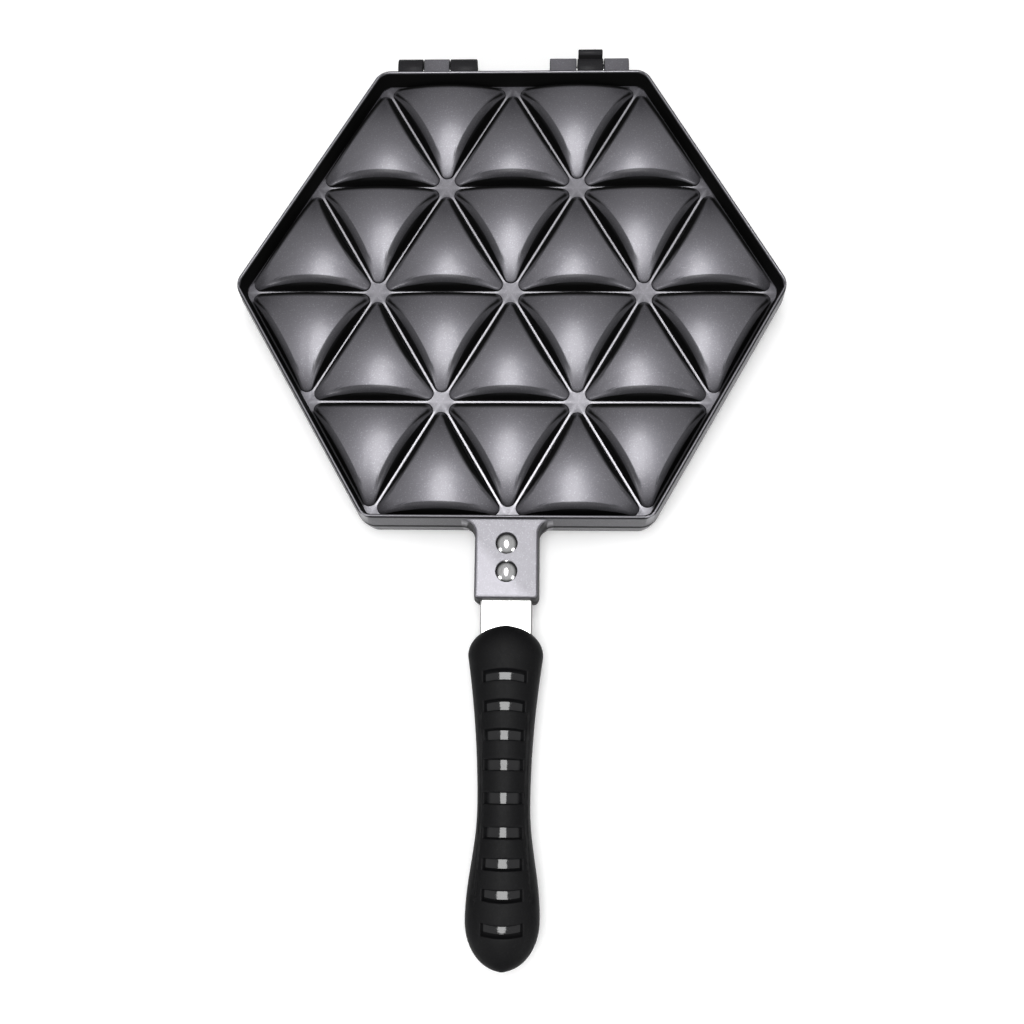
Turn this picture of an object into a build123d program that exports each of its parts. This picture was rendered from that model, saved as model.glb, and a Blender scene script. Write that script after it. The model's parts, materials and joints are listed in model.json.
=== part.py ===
from build123d import *
from math import cos, pi, radians, sin, sqrt, tan
import os

os.makedirs("parts", exist_ok=True)

# Double-sided samosa pan, closed. Millimetres, Z up, hinge towards +Y, grips towards -Y.
# The lower casting stands on its rim at Z = 0 and the two castings meet at Z = mid_z.

# one casting, heights from the meeting face
pitch = 60.0            # side of one triangle of the pattern
half_height = 12.9      # meeting face to rim
wall_half = 107.6       # centre to outer wall, across flats, at the meeting face
web = 2.7               # sheet between the domes
meet_gap = 0.1          # each half stops this far short of the meeting face
rim_inset = 1.1         # from the outer wall to the rim's outer edge
corner_radius = 9.0
rim_width = 1.4
outer_draft = 5.0
inner_draft = 4.5

# one dome and the pocket behind it
dome_rise = 10.0        # above the web, at the middle
dome_sphere = 53.0
dome_inset = 0.55       # from the pattern line, where the dome leaves the web
dome_corner = 3.46
dome_draft = 16.0
dome_crest = 2.0        # rounding between the cushion and the sides
dome_wall = 2.3
pocket_inset = 2.17     # from the pattern line, at the meeting face
pocket_corner = 3.6
pocket_crest = 1.2
sketch_below = 0.5      # the tapered forms start this far below their base
sketch_above = 0.4      # and end this far above the sphere that cuts them
ejector_radius = 3.2    # round marks on the web, where the pattern lines cross
ejector_deep = 0.15

# neck, bar, rivets and screws
neck_width = 27.8
neck_end = -140.7
neck_rise = 10.8
neck_draft = 3.0
neck_flare = 6.0
neck_corner = 1.8
bar_width = 21.7
bar_thick = 2.5
bar_low = 2.9
bar_start = -110.0
bar_end = -252.0
bar_stem = 11.0         # width inside the grip
bar_narrows = (-154.0, -166.0)
bar_round = 4.0         # corners of its end inside the grip
bar_play = 0.1          # beside the bar in its seat
bar_lift = 0.05         # above and below it
channel_over = 1.0      # the channel runs past the bar, and past the neck's end
rivet_places = [-116.8, -128.8]
rivet_radius = 2.5
rivet_head = 4.7
rivet_head_rise = 1.9
rivet_tail = 4.0
rivet_tail_thick = 1.3
overlap = 0.1           # where one form runs into the next
screw_places = [-189.9, -240.4]
screw_radius = 1.8
screw_long = 8.0
screw_hole = 9.0
screw_head = 3.5
screw_head_thick = 1.3
screw_sunk = 0.2        # below the grip's flat side
head_play = 0.1
cross_wide = 0.8        # cross slot of a screw, as deep as it is wide
cross_long = 4.2
fixed_fit = 0.02        # radial gap round what is fixed in a hole or sleeve

# grip
grip_flat = 0.6
grip_edge = 0.8         # the flat side is narrower by this on each side
grip_wide_at = 4.0
grip_crown = 12.2
nose_centre = -163.5
nose_length = 12.4
bulge_half = 15.7
waist_at = -224.8
waist_half = 10.7
front_ease = 1.9        # how fast the grip narrows behind the nose
tail_centre = -268.0
tail_length = 19.0
tail_half = 14.9
end_crown = 6.6         # height of the blunt ends
sleeve_wall = 1.8
thin_below = 6.0        # where the grip's half is narrower, the wall thins with it
slot_places = [-171.7, -184.0, -195.8, -207.8, -221.0, -234.4, -246.5, -258.5, -271.7]
slot_bows = [1.2, 0.8, 0.5, 0.2, 0.0, 0.0, -0.2, -0.7, -1.2]
slot_halves = [10.1, 9.3, 9.1, 9.1, 9.1, 9.1, 9.2, 9.6, 10.1]
slot_length = 4.3
slot_from = 1.0         # above the widest level, where the slots begin
groove_line = [(10.0, -186.0), (9.15, -221.0), (11.4, -262.0)]
groove_width = 0.8
groove_deep = 0.8
groove_from = 0.5
cut_high = 12.0         # of the forms that cut slots and grooves
entry_inside = -160.0   # how far the bar's entry reaches into the sleeve
sections = 20
tip_share = 0.4         # first and last section, in steps of the others

# hinge, measured from the hinge line
hinge_y = 114.7
knuckle_radius = 5.5
lug_flat = 4.0
lug_root = 1.0
lug_back = 9.0          # from the hinge line into the wall
pin_radius = 2.0
pin_running = 0.06
pin_chamfer = 0.3
fork_spans = [(17.2, 29.9), (42.9, 54.6)]
knuckle_span = (30.3, 42.5)
pin_set_back = 0.3      # from the fork's outer faces
stop_set_in = 0.4       # from the faces of the knuckle
stop_start = 3.6
stop_radius = 1.75
stop_out = 5.8
stop_down = 5.1

mid_z = half_height
grip_middle = (nose_centre + nose_length + tail_centre - tail_length) / 2
grip_half = (nose_centre + nose_length - tail_centre + tail_length) / 2
grip_end = grip_middle - grip_half * cos(tip_share * pi / sections)
web_z = mid_z + web
rim_z = 2 * half_height
turn_over = Axis((0, 0, mid_z), (0, 1, 0))
# everything is drawn about the middle of the pattern, then moved so that the origin
# lies under the middle of the whole pan
place = Location((0, -(hinge_y + stop_out + stop_radius + grip_end) / 2, 0))
row_height = pitch * sqrt(3) / 2


def tapered_triangle(inset, corner, base, high):
    """Rounded triangle pointing to +Y, inset from the pattern line at height base."""
    low = base - sketch_below
    grown = sketch_below * tan(radians(dome_draft))
    with BuildPart() as body:
        with BuildSketch(Plane.XY.offset(low)) as outline:
            RegularPolygon(pitch / sqrt(3) - 2 * (inset - grown), 3, rotation=90)
            fillet(outline.vertices(), corner)
        extrude(amount=high - low, taper=dome_draft)
    return body.part


# the sphere under each dome has its centre below the casting; it lies on its side, so
# that its poles stay off the dome
sphere_z = web_z + dome_rise - dome_sphere

with BuildPart() as dome:
    add(tapered_triangle(dome_inset, dome_corner, web_z, web_z + dome_rise + sketch_above))
    with Locations((0, 0, sphere_z)):
        Sphere(dome_sphere, rotation=(90, 0, 0), mode=Mode.INTERSECT)
    fillet(dome.faces().sort_by(Axis.Z)[-1].edges(), dome_crest)

with BuildPart() as pocket:
    add(tapered_triangle(pocket_inset, pocket_corner, mid_z,
                         web_z + dome_rise - dome_wall + sketch_above))
    with Locations((0, 0, sphere_z)):
        Sphere(dome_sphere - dome_wall, rotation=(90, 0, 0), mode=Mode.INTERSECT)
    fillet(pocket.faces().sort_by(Axis.Z)[-1].edges(), pocket_crest)

# rows of triangles from the middle outwards, the other side of the middle turned round
pattern = []
for row in (0, 1):
    for count, rise, turn in ((4 - row, 1 / 3, 0), (3 - row, 2 / 3, 180)):
        for k in range(count):
            x = pitch * (k - (count - 1) / 2)
            y = row_height * (row + rise)
            pattern.append(Location((x, y, 0), (0, 0, turn)))
            pattern.append(Location((x, -y, 0), (0, 0, turn + 180)))

# the crossings of the pattern lines inside the plate
crossings = [(0, 0)] + [(pitch * cos(k * pi / 3), pitch * sin(k * pi / 3)) for k in range(6)]


def lug(spans, hole, with_stop):
    """Lugs of the upper casting on the hinge line: flat outside, round inside."""
    with BuildPart() as body:
        for near, far in spans:
            with BuildSketch(Plane.YZ.offset(near)):
                with Locations((hinge_y, mid_z)):
                    Circle(knuckle_radius)
                with Locations((hinge_y - lug_back / 2, mid_z + (lug_root + lug_flat) / 2)):
                    Rectangle(lug_back, lug_flat - lug_root)
                with Locations((hinge_y, mid_z + lug_flat + knuckle_radius)):
                    Rectangle(4 * knuckle_radius, 2 * knuckle_radius, mode=Mode.SUBTRACT)
            extrude(amount=far - near)
            if with_stop:
                with BuildSketch(Plane.YZ.offset(near + stop_set_in)):
                    with Locations((hinge_y + stop_start, mid_z)):
                        Circle(stop_radius)
                    with Locations((hinge_y + stop_out, mid_z - stop_down)):
                        Circle(stop_radius)
                    make_hull()
                extrude(amount=far - near - 2 * stop_set_in)
            with BuildSketch(Plane.YZ.offset(near)):
                with Locations((hinge_y, mid_z)):
                    Circle(hole)
            extrude(amount=far - near, mode=Mode.SUBTRACT)
    return body.part


with BuildPart() as casting:
    # outer wall, solid at first
    with BuildSketch(Plane.XY.offset(mid_z + meet_gap)) as outer:
        RegularPolygon(wall_half, 6, major_radius=False)
        fillet(outer.vertices(), corner_radius)
    extrude(amount=half_height - meet_gap, taper=outer_draft)
    # neck with drafted sides, blended into the wall
    with BuildSketch(Plane.XY.offset(mid_z + meet_gap)):
        with Locations((0, neck_end / 2)):
            Rectangle(neck_width, -neck_end)
    extrude(amount=neck_rise - meet_gap, taper=neck_draft)
    upright = casting.edges().filter_by(lambda e: e.bounding_box().size.Z > 0.7 * neck_rise)
    fillet(upright.filter_by(lambda e: abs(e.center().X) < neck_width
                             and -wall_half < e.center().Y < -wall_half + neck_corner), neck_flare)
    fillet(upright.filter_by(lambda e: e.center().Y < neck_end + neck_corner), neck_corner)
    # the recess inside the rim, down to the web
    with BuildSketch(Plane.XY.offset(rim_z)) as inner:
        RegularPolygon(wall_half - rim_inset - rim_width, 6, major_radius=False)
        fillet(inner.vertices(), corner_radius - rim_width)
    extrude(amount=-(half_height - web), taper=inner_draft, mode=Mode.SUBTRACT)
    # domes outside, pockets inside
    with Locations(*pattern):
        add(dome.part)
    with Locations(*pattern):
        add(pocket.part, mode=Mode.SUBTRACT)
    with BuildSketch(Plane.XY.offset(web_z - ejector_deep)):
        with Locations(*crossings):
            Circle(ejector_radius)
    extrude(amount=2 * ejector_deep, mode=Mode.SUBTRACT)
    # hinge lugs: a fork on the right, one knuckle with its stop on the left
    add(lug(fork_spans, pin_radius + fixed_fit, False))
    add(lug([(-knuckle_span[1], -knuckle_span[0])], pin_radius + pin_running, True))
    # channel for the bar, open to the meeting face and at the end of the neck
    with BuildSketch(Plane.XY.offset(mid_z)):
        with Locations((0, (neck_end + bar_start) / 2)):
            Rectangle(bar_width + 4 * bar_play, bar_start - neck_end + 2 * channel_over)
    extrude(amount=bar_low + bar_thick, mode=Mode.SUBTRACT)
    with BuildSketch(Plane.XY.offset(mid_z)):
        with Locations(*[(0, y) for y in rivet_places]):
            Circle(rivet_radius + fixed_fit)
    extrude(amount=neck_rise, mode=Mode.SUBTRACT)

with BuildPart() as bar:
    with BuildSketch(Plane.XY.offset(mid_z + bar_low)):
        with BuildLine():
            right = Polyline((0, bar_start), (bar_width / 2, bar_start),
                             (bar_width / 2, bar_narrows[0]), (bar_stem / 2, bar_narrows[1]),
                             (bar_stem / 2, bar_end), (0, bar_end))
            mirror(right, about=Plane.YZ)
        make_face()
        with Locations(*[(0, y) for y in rivet_places]):
            Circle(rivet_radius + fixed_fit, mode=Mode.SUBTRACT)
        with Locations(*[(0, y) for y in screw_places]):
            Circle(screw_radius + bar_play, mode=Mode.SUBTRACT)
    extrude(amount=bar_thick)
    fillet(bar.edges().filter_by(Axis.Z).group_by(Axis.Y)[0], bar_round)

# domed head outside, shank through neck and bar, flat tail in the channel
with BuildPart() as rivets:
    head_sphere = (rivet_head ** 2 + rivet_head_rise ** 2) / (2 * rivet_head_rise)
    head_z = mid_z + neck_rise + rivet_head_rise - head_sphere
    with Locations(*[(0, y, head_z) for y in rivet_places]):
        Sphere(head_sphere)
    split(bisect_by=Plane.XY.offset(mid_z + neck_rise), keep=Keep.TOP)
    with Locations(*[(0, y, mid_z + bar_low - rivet_tail_thick) for y in rivet_places]):
        Cylinder(rivet_radius, rivet_tail_thick + neck_rise - bar_low + overlap,
                 align=(Align.CENTER, Align.CENTER, Align.MIN))
        Cylinder(rivet_tail, rivet_tail_thick, align=(Align.CENTER, Align.CENTER, Align.MIN))


def plan_half(y):
    """Half width of the grip: round nose, waist, round tail."""
    if y >= nose_centre:
        return bulge_half * sqrt(1 - ((y - nose_centre) / nose_length) ** 2)
    if y <= tail_centre:
        return tail_half * sqrt(1 - ((y - tail_centre) / tail_length) ** 2)
    if y >= waist_at:
        u = (nose_centre - y) / (nose_centre - waist_at)
        return waist_half + (bulge_half - waist_half) * (1 - u) ** front_ease
    v = (waist_at - y) / (waist_at - tail_centre)
    return waist_half + (tail_half - waist_half) * (0.5 - 0.5 * cos(pi * v))


def crown(y):
    """Height of the grip's crown above the meeting face, lower at both ends."""
    t = max((y - nose_centre) / nose_length, (tail_centre - y) / tail_length, 0.0)
    return end_crown + (grip_crown - end_crown) * sqrt(1 - t * t)


def grip_body(inset):
    """The grip's outer form, or the form that lies inset below it; the flat side stays."""
    shrink = (grip_half - inset) / grip_half
    # sections crowd together towards both ends
    steps = [tip_share] + list(range(1, sections)) + [sections - tip_share]
    places = [grip_middle + grip_half * cos(pi * k / sections) for k in steps]
    with BuildPart() as body:
        for y in places:
            a = plan_half(y) - inset * min(1.0, plan_half(y) / thin_below)
            flat_half = a - grip_edge
            top = crown(y) - inset
            with BuildSketch(Plane.XZ.offset(-(grip_middle + (y - grip_middle) * shrink))):
                with BuildLine():
                    Line((-flat_half, mid_z + grip_flat), (flat_half, mid_z + grip_flat))
                    TangentArc((a, mid_z + grip_wide_at), (flat_half, mid_z + grip_flat),
                               tangent=(0, -1))
                    TangentArc((-a, mid_z + grip_wide_at), (-flat_half, mid_z + grip_flat),
                               tangent=(0, -1))
                    EllipticalCenterArc((0, mid_z + grip_wide_at), a, top - grip_wide_at,
                                        start_angle=0, arc_size=180)
                make_face()
        loft()
    return body.part


with BuildPart() as core:
    add(grip_body(sleeve_wall))
    # seat of the bar, with holes for the two screws below and above it
    with BuildSketch(Plane.XY.offset(mid_z + bar_low - bar_lift)):
        with BuildLine():
            seat = bar_width / 2 + bar_play
            stem = bar_stem / 2 + bar_play
            right = Polyline((0, neck_end), (seat, neck_end), (seat, bar_narrows[0] - bar_play),
                             (stem, bar_narrows[1] - bar_play), (stem, bar_end - bar_play),
                             (0, bar_end - bar_play))
            mirror(right, about=Plane.YZ)
        make_face()
    extrude(amount=bar_thick + 2 * bar_lift, mode=Mode.SUBTRACT)
    with Locations(*[(0, y, mid_z) for y in screw_places]):
        Cylinder(screw_radius + fixed_fit, screw_hole,
                 align=(Align.CENTER, Align.CENTER, Align.MIN), mode=Mode.SUBTRACT)
        Cylinder(screw_head + head_play, grip_flat + screw_sunk + screw_head_thick + bar_lift,
                 align=(Align.CENTER, Align.CENTER, Align.MIN), mode=Mode.SUBTRACT)

# two long grooves through the ends of the middle slots, spread apart towards the tail
with BuildPart() as grooves:
    with BuildSketch(Plane.XY.offset(mid_z + grip_wide_at + groove_from)):
        with BuildLine():
            near = ThreePointArc(*[(x - groove_width / 2, y) for x, y in groove_line])
            far = ThreePointArc(*[(x + groove_width / 2, y) for x, y in groove_line])
            Line(near @ 0, far @ 0)
            Line(near @ 1, far @ 1)
        make_face()
        mirror(about=Plane.YZ)
    extrude(amount=cut_high)
    add(grip_body(groove_deep), mode=Mode.SUBTRACT)

with BuildPart() as sleeve:
    add(grip_body(0.0))
    add(grip_body(sleeve_wall - fixed_fit), mode=Mode.SUBTRACT)
    add(grooves.part, mode=Mode.SUBTRACT)
    # bowed slots through the crown
    for y, bow, slot_half in zip(slot_places, slot_bows, slot_halves):
        far = y + slot_length / 2
        near = y - slot_length / 2
        with BuildSketch(Plane.XY.offset(mid_z + grip_wide_at + slot_from)):
            with BuildLine():
                left = Line((-slot_half, near - bow), (-slot_half, far - bow))
                right = Line((slot_half, near - bow), (slot_half, far - bow))
                if bow == 0:
                    Line(left @ 0, right @ 0)
                    Line(left @ 1, right @ 1)
                else:
                    ThreePointArc(left @ 0, (0, near), right @ 0)
                    ThreePointArc(left @ 1, (0, far), right @ 1)
            make_face()
        extrude(amount=cut_high, mode=Mode.SUBTRACT)
    # entry of the bar through the nose
    with BuildSketch(Plane.XY.offset(mid_z + bar_low - bar_lift)):
        with Locations((0, (neck_end + entry_inside) / 2)):
            Rectangle(bar_width + 2 * bar_play, neck_end - entry_inside)
    extrude(amount=bar_thick + 2 * bar_lift, mode=Mode.SUBTRACT)

with BuildPart() as screws:
    with Locations(*[(0, y, mid_z) for y in screw_places]):
        with Locations((0, 0, grip_flat + screw_sunk)):
            Cylinder(screw_head, screw_head_thick, align=(Align.CENTER, Align.CENTER, Align.MIN))
            Cylinder(screw_radius, screw_long, align=(Align.CENTER, Align.CENTER, Align.MIN))
            Box(cross_wide, cross_long, 2 * cross_wide, mode=Mode.SUBTRACT)
            Box(cross_long, cross_wide, 2 * cross_wide, mode=Mode.SUBTRACT)

with BuildPart() as pin:
    with BuildSketch(Plane.YZ.offset(fork_spans[0][0] + pin_set_back)):
        with Locations((hinge_y, mid_z)):
            Circle(pin_radius)
    extrude(amount=fork_spans[1][1] - fork_spans[0][0] - 2 * pin_set_back)
    chamfer(pin.edges(), pin_chamfer)

# the two halves are the same seven pieces, one set turned over about the line
# between the grips; each piece goes to its place from the middle of the pattern

with BuildPart() as upper_pan:
    add(casting.part.moved(place))
upper_pan.part.label = "upper_pan"
export_step(upper_pan.part, "parts/upper_pan.step")

with BuildPart() as lower_pan:
    add(casting.part.rotate(turn_over, 180).moved(place))
lower_pan.part.label = "lower_pan"
export_step(lower_pan.part, "parts/lower_pan.step")

with BuildPart() as upper_tang:
    add(bar.part.moved(place))
upper_tang.part.label = "upper_tang"
export_step(upper_tang.part, "parts/upper_tang.step")

with BuildPart() as lower_tang:
    add(bar.part.rotate(turn_over, 180).moved(place))
lower_tang.part.label = "lower_tang"
export_step(lower_tang.part, "parts/lower_tang.step")

with BuildPart() as upper_rivets:
    add(rivets.part.moved(place))
upper_rivets.part.label = "upper_rivets"
export_step(upper_rivets.part, "parts/upper_rivets.step")

with BuildPart() as lower_rivets:
    add(rivets.part.rotate(turn_over, 180).moved(place))
lower_rivets.part.label = "lower_rivets"
export_step(lower_rivets.part, "parts/lower_rivets.step")

with BuildPart() as upper_handle_core:
    add(core.part.moved(place))
upper_handle_core.part.label = "upper_handle_core"
export_step(upper_handle_core.part, "parts/upper_handle_core.step")

with BuildPart() as lower_handle_core:
    add(core.part.rotate(turn_over, 180).moved(place))
lower_handle_core.part.label = "lower_handle_core"
export_step(lower_handle_core.part, "parts/lower_handle_core.step")

with BuildPart() as upper_grip_sleeve:
    add(sleeve.part.moved(place))
upper_grip_sleeve.part.label = "upper_grip_sleeve"
export_step(upper_grip_sleeve.part, "parts/upper_grip_sleeve.step")

with BuildPart() as lower_grip_sleeve:
    add(sleeve.part.rotate(turn_over, 180).moved(place))
lower_grip_sleeve.part.label = "lower_grip_sleeve"
export_step(lower_grip_sleeve.part, "parts/lower_grip_sleeve.step")

with BuildPart() as upper_handle_screws:
    add(screws.part.moved(place))
upper_handle_screws.part.label = "upper_handle_screws"
export_step(upper_handle_screws.part, "parts/upper_handle_screws.step")

with BuildPart() as lower_handle_screws:
    add(screws.part.rotate(turn_over, 180).moved(place))
lower_handle_screws.part.label = "lower_handle_screws"
export_step(lower_handle_screws.part, "parts/lower_handle_screws.step")

with BuildPart() as right_hinge_pin:
    add(pin.part.moved(place))
right_hinge_pin.part.label = "right_hinge_pin"
export_step(right_hinge_pin.part, "parts/right_hinge_pin.step")

with BuildPart() as left_hinge_pin:
    add(pin.part.rotate(turn_over, 180).moved(place))
left_hinge_pin.part.label = "left_hinge_pin"
export_step(left_hinge_pin.part, "parts/left_hinge_pin.step")
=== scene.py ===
# %% [markdown]
# # A double-sided samosa pan
#
# The pan is two equal castings, one turned over on the other, with a hinge at the far
# side and a grip on each.  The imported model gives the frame: where every piece is and how
# the upper half turns.  This lesson dresses it.  The castings and the grips are made again
# with the soft edges that the plain solids lack, and everything gets its finish.

# %% Load the frame
import bpy
import json
import numpy as np
from math import cos, radians, sin, sqrt, tan
from mathutils import Matrix, Vector


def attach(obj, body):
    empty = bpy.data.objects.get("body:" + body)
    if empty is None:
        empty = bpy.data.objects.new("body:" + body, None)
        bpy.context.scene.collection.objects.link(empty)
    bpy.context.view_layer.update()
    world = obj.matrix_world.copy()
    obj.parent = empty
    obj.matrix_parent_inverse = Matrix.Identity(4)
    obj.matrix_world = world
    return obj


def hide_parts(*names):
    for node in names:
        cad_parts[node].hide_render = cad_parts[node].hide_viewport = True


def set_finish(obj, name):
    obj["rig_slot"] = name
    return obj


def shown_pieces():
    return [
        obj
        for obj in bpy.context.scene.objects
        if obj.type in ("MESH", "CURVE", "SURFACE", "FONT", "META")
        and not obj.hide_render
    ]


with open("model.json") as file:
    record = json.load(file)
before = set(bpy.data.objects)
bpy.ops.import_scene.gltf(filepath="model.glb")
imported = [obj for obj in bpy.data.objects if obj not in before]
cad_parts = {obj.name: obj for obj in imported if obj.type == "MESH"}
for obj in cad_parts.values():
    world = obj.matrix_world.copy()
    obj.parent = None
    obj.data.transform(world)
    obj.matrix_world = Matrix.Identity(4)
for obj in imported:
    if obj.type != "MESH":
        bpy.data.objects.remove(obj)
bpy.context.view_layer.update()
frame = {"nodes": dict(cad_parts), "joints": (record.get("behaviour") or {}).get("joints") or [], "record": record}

# %% [markdown]
# Sizes below are in millimetres, as a pan is drawn.  Heights count from the face where
# the two halves meet, and the zero of the plan is the middle of the triangle pattern.
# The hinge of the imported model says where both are.

# %% Driving sizes
hinge_y = 114.7
hinge_place = frame["joints"][0]["pos_m"]
plan_y = hinge_place[1] * 1000 - hinge_y
mid_z = hinge_place[2] * 1000

pitch = 60.0
row_height = pitch * sqrt(3) / 2
half_height = 12.9
meet_gap = 0.1
web = 2.7
wall_half = 107.6
outer_corner = 9.0
outer_draft = 5.0
dome_inset = 0.55
dome_draft = 16.0
print("pattern middle at y =", round(plan_y, 2), "mm, the halves meet at z =", round(mid_z, 2))

# %% [markdown]
# ## From arrays to a mesh
#
# A piece is worked out as arrays of points and put into its mesh in one go.  The lower
# half is the upper one turned over about the line between the grips: x and the height
# change sign.  That is a half turn, so the faces still point outwards.
#
# Each point also gets two values that the finish reads, both painted light.  Painted shade:
# the steep sides of the domes look at each other across a narrow gap, the two halves almost
# touch, and little light gets there, so the coat is painted dark there.  Painted highlight:
# the narrow web between the domes and the lip of the rim are painted lighter, to show as
# fine bright lines.
#
# How much each place gets is set to match the photograph.  Part of it goes by the
# direction a side faces, so these sides stay dark when the pan is turned or opened.


# %% Painted shade of a point
recess_to = 105.3  # distance across flats: domes and web lie inside it
outer_from = 106.2  # the rim's outer face lies outside it
neck_from = 107.65  # towards the grips, the neck lies beyond it
hinge_from = 109  # towards the hinge, the lugs lie beyond it


def across_flats(points):
    """Distance from the middle of the pattern, measured across the hexagon's flats."""
    side = np.radians(30 + 60 * np.arange(6))
    return (points[:, :1] * np.cos(side) + points[:, 1:2] * np.sin(side)).max(1)


def off_crossing(points):
    """Distance to the nearest crossing of the pattern lines."""
    line = np.round(points[:, 1] / row_height)
    place = np.round(points[:, 0] / pitch - line / 2)
    return np.hypot(points[:, 0] - pitch * (place + line / 2), points[:, 1] - row_height * line)


def off_line(points):
    """Distance to the nearest pattern line of the three directions."""
    across = np.radians([30, 90, 150])
    along = points[:, :1] * np.cos(across) + points[:, 1:2] * np.sin(across)
    return np.abs(along - row_height * np.round(along / row_height)).min(1)


def dome_painted_shade(points, normals):
    """Painted shade on the sides of the domes.  Where a side faces the hinge, 1 on it and on
    the crest above; where it faces the grips, 0.65 on a high crest and nearly 1 lower down."""
    height = points[:, 2] - web
    up = np.abs(normals[:, 2])
    set_back = off_line(points) - dome_inset - np.maximum(height, 0) * tan(radians(dome_draft))
    deep = np.clip(np.maximum((7 - height) / 2, (across_flats(points) - 103.5) / 0.3), 0, 1)
    high = np.clip(np.maximum((height - 4) / 2, (normals[:, 1] + 0.3) / 0.15), 0, 1)
    crest = 0.65 * np.clip((2.2 - set_back) / 0.3, 0, 1) * high * np.clip(height / 2, 0, 1)
    near_facing = np.maximum(crest, np.clip((0.6 - up) / 0.28, 0, 1) * (0.85 + 0.15 * deep))
    hinge_facing = np.maximum(np.clip((0.86 - up) / 0.2, 0, 1),
                              np.clip((2.7 - set_back) / 1.1, 0, 1) * np.clip(height / 2, 0, 1))
    share = np.clip((normals[:, 1] - 0.03) / 0.06, 0, 1)
    return near_facing + (hinge_facing - near_facing) * share


def painted_shade(points, normals):
    """Painted shade for how little light gets to a point: the largest of seven values, each 0
    in the open: dome sides, dome foot, web along the rim, outer wall, lip, neck side, hinge barrel."""
    apart = across_flats(points)
    height = points[:, 2]
    up = np.abs(normals[:, 2])
    steep = dome_painted_shade(points, normals) * (apart < recess_to)
    foot = 0.8 * (height > web + 0.005) * (height < web + 0.2) * (apart < 104)
    strip = 0.85 * (apart > 103.2) * (apart < recess_to) * (np.abs(height - 2.8) < 1.2)
    strip = strip * np.clip((off_crossing(points) - 4) / 2, 0, 1)
    wall = np.where(height < 1.6, 0.95, 0.5) * (up < 0.5) * (apart > outer_from)
    lip_edge = 0.9 * (height > 12) * (up < 0.93) * (apart > 106)
    flank = 0.85 * (up < 0.8) * (points[:, 1] < -neck_from) * (height < 10.4)
    barrel = 0.88 * (points[:, 1] > hinge_from) * (height < 3.9)
    return np.maximum.reduce([steep, foot, strip, wall, lip_edge, flank, barrel])


def painted_highlight(points, normals):
    """Painted highlight: 1 along the middle of the web's lines, less beside it and at their
    crossings, and a little on the lip's top; 0 elsewhere."""
    apart = across_flats(points)
    line = np.clip(1 - 1.5 * off_line(points), 0.2, 1) * np.clip((off_crossing(points) - 4) / 3, 0.2, 1)
    on_web = line * (np.abs(points[:, 2] - web) < 0.3) * (apart < 103)
    on_lip = 0.3 * (points[:, 2] > half_height - 0.3) * (apart > 105) * (apart < 105.7)
    return np.maximum(on_web, on_lip) * (normals[:, 2] > 0.8)


# %% [markdown]
# Faces are quads between neighbours of a grid.  Points that several grids share are welded,
# and a piece is told to the frame: its body, the node it stands for and its finish.


# %% Put arrays into a mesh
hard_edge = 38  # degrees; sharper edges aren't smoothed


def grid_faces(rows, columns, close_rows=False, close_columns=False):
    """Quads of a grid counted row by row.  They face the side from which going along a
    row and then to the next row turns to the left."""
    r = np.arange(rows if close_rows else rows - 1)
    c = np.arange(columns if close_columns else columns - 1)
    i, j = np.meshgrid(r, c, indexing="ij")
    i2 = (i + 1) % rows
    j2 = (j + 1) % columns
    quads = [i * columns + j, i * columns + j2, i2 * columns + j2, i2 * columns + j]
    return np.stack(quads, -1).reshape(-1, 4)


def weld(points, face_sets, reach=0.004):
    """Points that fall into the same small cell become one, and faces follow."""
    cells = np.floor(points / reach + 0.3217).astype(np.int64)
    _, first, new = np.unique(cells, axis=0, return_index=True, return_inverse=True)
    new = new.reshape(-1)
    return points[first], [new[faces] for faces in face_sets]


def join(shells):
    """Several shells, each (points, face sets), as one list of points and face sets."""
    points = []
    face_sets = []
    start = 0
    for shell_points, shell_faces in shells:
        points.append(shell_points)
        face_sets += [faces + start for faces in shell_faces]
        start += len(shell_points)
    return np.vstack(points), face_sets


def make_piece(name, shells, half, body, slot, stands_for):
    """One object at the origin from closed shells, turned over for the lower half."""
    points, face_sets = join(shells)
    side = np.array([-1, 1, -1]) if half == "lower" else np.array([1, 1, 1])
    drawn = points
    points = (points * side + [0, plan_y, mid_z]) / 1000
    mesh = bpy.data.meshes.new(name)
    mesh.from_pydata(points.tolist(), [], [f for faces in face_sets for f in faces.tolist()])
    mesh.validate()
    mesh.shade_smooth()
    mesh.set_sharp_from_angle(angle=radians(hard_edge))
    normals = np.empty(3 * len(mesh.vertices))
    mesh.vertex_normals.foreach_get("vector", normals)
    normals = normals.reshape(-1, 3)
    # Painted shade and painted highlight are stored on the points; the coat reads them.
    for field in (painted_shade, painted_highlight):
        values = mesh.attributes.new(field.__name__, "FLOAT", "POINT")
        values.data.foreach_set("value", field(drawn, normals * side))
    obj = bpy.data.objects.new(name, mesh)
    bpy.context.scene.collection.objects.link(obj)
    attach(obj, body)
    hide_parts(stands_for)
    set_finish(obj, slot)
    print(name, len(mesh.vertices), "points,", len(mesh.polygons), "faces")


# %% [markdown]
# ## One triangle of the pattern
#
# On the real pan each pocket is a triangle with round corners, and outside it shows as a
# dome: steep drafted sides that run up to a wide soft cushion, part of a sphere.  Where
# side and cushion meet there is a soft edge, high in the middle of a side and low at the
# corners.
#
# A square grid would cut that edge into steps.  Here the grid follows the triangle with
# rings that run parallel to its outline and crowd together where the surface bends.  In
# the upright plane across a side, the side is a straight line and the cushion an arc, and
# a smaller arc that touches both is the soft edge.  Its middle is as far from the line as
# its radius, and that much inside the cushion, which gives a quadratic equation.

# %% Rings of one triangle
side_steps = 14
corner_steps = 8
around = 3 * (side_steps + corner_steps)


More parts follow.
